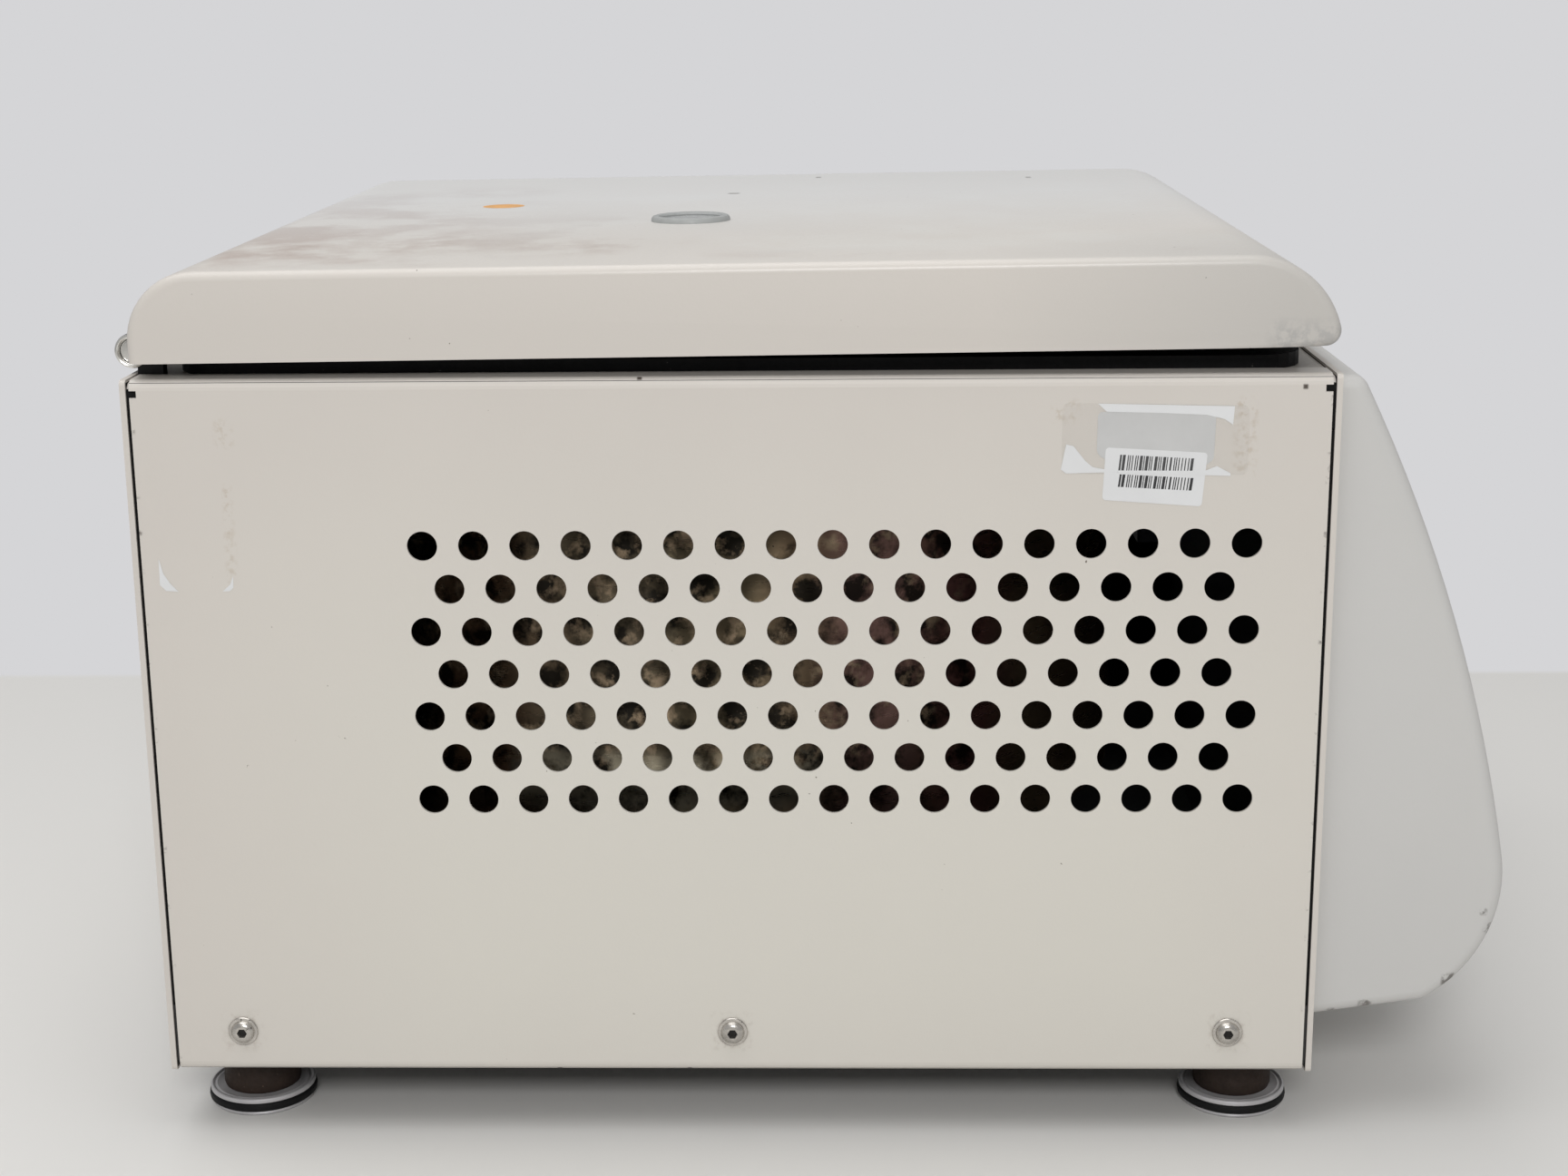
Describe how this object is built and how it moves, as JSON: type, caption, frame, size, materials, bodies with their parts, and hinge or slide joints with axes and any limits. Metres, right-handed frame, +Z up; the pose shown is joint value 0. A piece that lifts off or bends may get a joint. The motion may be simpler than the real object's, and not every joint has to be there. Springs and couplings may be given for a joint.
{
  "type": "microplate centrifuge",
  "caption": "Benchtop microplate centrifuge: vented sheet-metal housing on rubber feet, hinged lid, moulded front cover, and a swing-out plate rotor in a steel bowl.",
  "frame": {"origin": "on the bench top, under the middle of the object's box", "axes": "+Z up, -Y towards the operator and the front cover, +X to the operator's right"},
  "size_m": [0.4896, 0.6046, 0.3968],
  "materials": {
    "painted_beige": "fine orange-peel powder coat",
    "painted_edge": "fine powder coat",
    "zinc_sheet": "plain zinc-coated sheet",
    "bright_steel": "polished screws, cups and rod",
    "brown_rubber": "dull rubber",
    "black_rubber": "dull rubber",
    "black_plastic": "matt moulded plastic",
    "window_plastic": "cloudy translucent plastic",
    "grey_rim": "moulded rim",
    "hinge_steel": "plain steel",
    "stainless": "satin stainless bowl",
    "chromated_steel": "yellow chromate, iridescent",
    "motor_grey": "dark enamel",
    "copper": "lacquered windings",
    "bearing_steel": "ground steel",
    "rotor_alloy": "satin anodised",
    "nut_black": "black anodised",
    "solenoid_blue": "wrapped coil",
    "cover_grey": "moulded light grey plastic",
    "display_dark": "smoked window",
    "board_green": "circuit board",
    "key_green": "moulded key",
    "key_red": "moulded key",
    "key_grey": "moulded key",
    "rocker_black": "glossy rocker",
    "pin_brass": "plated pins"
  },
  "bodies": {
    "housing": {"left_side_panel": "painted_beige", "right_side_panel": "painted_beige", "front_panel": "painted_edge", "rear_panel": "painted_edge", "base_tray": "zinc_sheet", "top_deck": "painted_edge", "side_screws": "bright_steel", "foot_buffers": "brown_rubber", "foot_cups": "bright_steel", "foot_rings": "black_rubber", "foot_discs": "bright_steel", "hinge_rod": "bright_steel", "hinge_ears": "hinge_steel", "chamber_seal": "black_rubber", "chamber_bowl": "stainless", "guard_ring": "chromated_steel", "guard_posts": "hinge_steel", "shaft_seal": "black_rubber", "motor_plate": "zinc_sheet", "rubber_mounts": "black_rubber", "motor_can": "motor_grey", "motor_cap": "motor_grey", "motor_stator": "copper", "lower_bearing": "bearing_steel", "upper_bearing": "bearing_steel", "lock_bracket": "zinc_sheet", "lock_solenoid": "solenoid_blue", "lock_spring": "hinge_steel", "front_cover": "cover_grey", "display_window": "display_dark", "control_board": "board_green", "speed_encoder": "black_plastic", "mains_inlet": "black_plastic", "inlet_pins": "pin_brass", "switch_frame": "black_plastic", "fuse_holder": "black_plastic", "fan_frame": "black_plastic", "fan_guard": "hinge_steel", "power_board": "board_green"},
    "lid": {"lid_shell": "painted_beige", "lid_liner": "black_plastic", "lid_window": "window_plastic", "window_rim": "grey_rim", "lid_knuckles": "hinge_steel", "lid_strikers": "hinge_steel"},
    "rotor": {"motor_shaft": "bright_steel", "motor_core": "motor_grey", "rotor_yoke": "rotor_alloy", "trunnion_pins": "bright_steel", "rotor_nut": "nut_black"},
    "left_swing": {"left_carrier": "rotor_alloy"},
    "right_swing": {"right_carrier": "rotor_alloy"},
    "lock_hooks": {"lock_shaft": "hinge_steel"},
    "lock_pull": {"lock_plunger": "hinge_steel"},
    "start_push": {"start_key": "key_green"},
    "stop_push": {"stop_key": "key_red"},
    "lid_push": {"lid_key": "key_grey"},
    "knob": {"speed_knob": "black_plastic"},
    "rocker": {"switch_rocker": "rocker_black"},
    "fan": {"fan_rotor": "black_plastic"}
  },
  "joints": [
    {"name": "lid_hinge", "type": "hinge", "parent": "housing", "child": "lid", "pos_m": [0, 0.29485, 0.3562], "axis": [-1, 0, 0], "range_deg": [-0.5, 75]},
    {"name": "rotor_spin", "type": "hinge", "parent": "housing", "child": "rotor", "pos_m": [0, 0.06415, 0.253], "axis": [0, 0, 1], "continuous": true},
    {"name": "left_swing_out", "type": "hinge", "parent": "rotor", "child": "left_swing", "pos_m": [-0.092, 0.06415, 0.253], "axis": [0, 1, 0], "range_deg": [0, 90]},
    {"name": "right_swing_out", "type": "hinge", "parent": "rotor", "child": "right_swing", "pos_m": [0.092, 0.06415, 0.253], "axis": [0, -1, 0], "range_deg": [0, 90]},
    {"name": "lock_turn", "type": "hinge", "parent": "housing", "child": "lock_hooks", "pos_m": [0, -0.19485, 0.2945], "axis": [-1, 0, 0], "range_deg": [0, 21]},
    {"name": "plunger_slide", "type": "slide", "parent": "housing", "child": "lock_pull", "axis": [0, 0, -1], "range_m": [0, 0.00659], "stiffness_N_per_m": 250, "springref_m": -0.004, "deforming": ["lock_spring"]},
    {"name": "start_press", "type": "slide", "parent": "housing", "child": "start_push", "axis": [0, 0.9547, -0.2976], "range_m": [0, 0.001], "stiffness_N_per_m": 300, "springref_m": -0.001},
    {"name": "stop_press", "type": "slide", "parent": "housing", "child": "stop_push", "axis": [0, 0.9547, -0.2976], "range_m": [0, 0.001], "stiffness_N_per_m": 300, "springref_m": -0.001},
    {"name": "lid_press", "type": "slide", "parent": "housing", "child": "lid_push", "axis": [0, 0.9547, -0.2976], "range_m": [0, 0.001], "stiffness_N_per_m": 300, "springref_m": -0.001},
    {"name": "knob_turn", "type": "hinge", "parent": "housing", "child": "knob", "pos_m": [0.105, -0.27112, 0.24915], "axis": [0, -0.9346, 0.3557], "continuous": true},
    {"name": "rocker_tilt", "type": "hinge", "parent": "housing", "child": "rocker", "pos_m": [-0.098, 0.29265, 0.075], "axis": [1, 0, 0], "range_deg": [0, 16]},
    {"name": "fan_spin", "type": "hinge", "parent": "housing", "child": "fan", "pos_m": [0.14, 0.29315, 0.14], "axis": [0, 1, 0], "continuous": true}
  ],
  "couplings": [
    {"joint": "lock_turn", "follows": "plunger_slide", "rad_per_m": 55.556}
  ]
}
